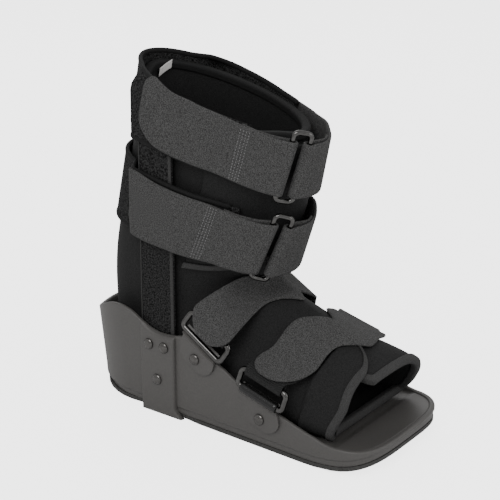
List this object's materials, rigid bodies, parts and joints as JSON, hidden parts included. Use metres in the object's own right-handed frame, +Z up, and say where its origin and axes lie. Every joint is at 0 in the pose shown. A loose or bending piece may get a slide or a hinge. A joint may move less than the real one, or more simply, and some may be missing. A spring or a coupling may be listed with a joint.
{
  "type": "medical walking boot",
  "caption": "Low orthopaedic walking boot with a rocker-soled plastic shell, an open-toed padded liner, side uprights in covers and ring-buckled calf and foot straps.",
  "frame": {"origin": "ground level under the middle of the boot's bounding box", "axes": "+Z up, toe toward -Y, heel toward +Y, the wearer's right-hand side toward -X (the side with the strap tabs and rings)"},
  "size_m": [0.1291, 0.2783, 0.2679],
  "materials": {
    "shell_plastic": "matt, fine grain",
    "sole_rubber": "matt",
    "liner_fabric": "smooth padded cloth",
    "pile_fabric": "loop pile",
    "strap_fabric": "fine woven, speckled",
    "binding_tape": "ribbed tape",
    "webbing_fabric": "ribbed webbing",
    "ring_metal": "bright, dark nickel",
    "rivet_metal": "satin, dark",
    "label_cloth": "satin"
  },
  "bodies": {
    "root": {"outsole": "sole_rubber", "base_shell": "shell_plastic", "liner": "liner_fabric", "toe_flap": "liner_fabric", "calf_flap": "liner_fabric", "rim_binding": "binding_tape", "toe_binding": "binding_tape", "toe_flap_binding": "binding_tape", "calf_flap_binding": "binding_tape", "care_label": "label_cloth", "upright_right": "pile_fabric", "rivet_right_1": "rivet_metal", "rivet_right_2": "rivet_metal", "rivet_right_3": "rivet_metal", "rivet_right_4": "rivet_metal", "rivet_right_5": "rivet_metal", "instep_chafe_right": "shell_plastic", "instep_ring_right": "ring_metal", "instep_webbing_right": "webbing_fabric", "forefoot_chafe_right": "shell_plastic", "forefoot_ring_right": "ring_metal", "forefoot_webbing_right": "webbing_fabric", "upright_left": "pile_fabric", "rivet_left_1": "rivet_metal", "rivet_left_2": "rivet_metal", "rivet_left_3": "rivet_metal", "rivet_left_4": "rivet_metal", "rivet_left_5": "rivet_metal", "instep_chafe_left": "shell_plastic", "instep_ring_left": "ring_metal", "instep_webbing_left": "webbing_fabric", "forefoot_chafe_left": "shell_plastic", "forefoot_ring_left": "ring_metal", "forefoot_webbing_left": "webbing_fabric", "instep_strap": "strap_fabric", "forefoot_strap": "strap_fabric", "upper_band": "pile_fabric", "upper_tab": "strap_fabric", "upper_keeper": "strap_fabric", "upper_ring": "ring_metal", "lower_band": "pile_fabric", "lower_tab": "strap_fabric", "lower_keeper": "strap_fabric", "lower_ring": "ring_metal"}
  },
  "joints": []
}
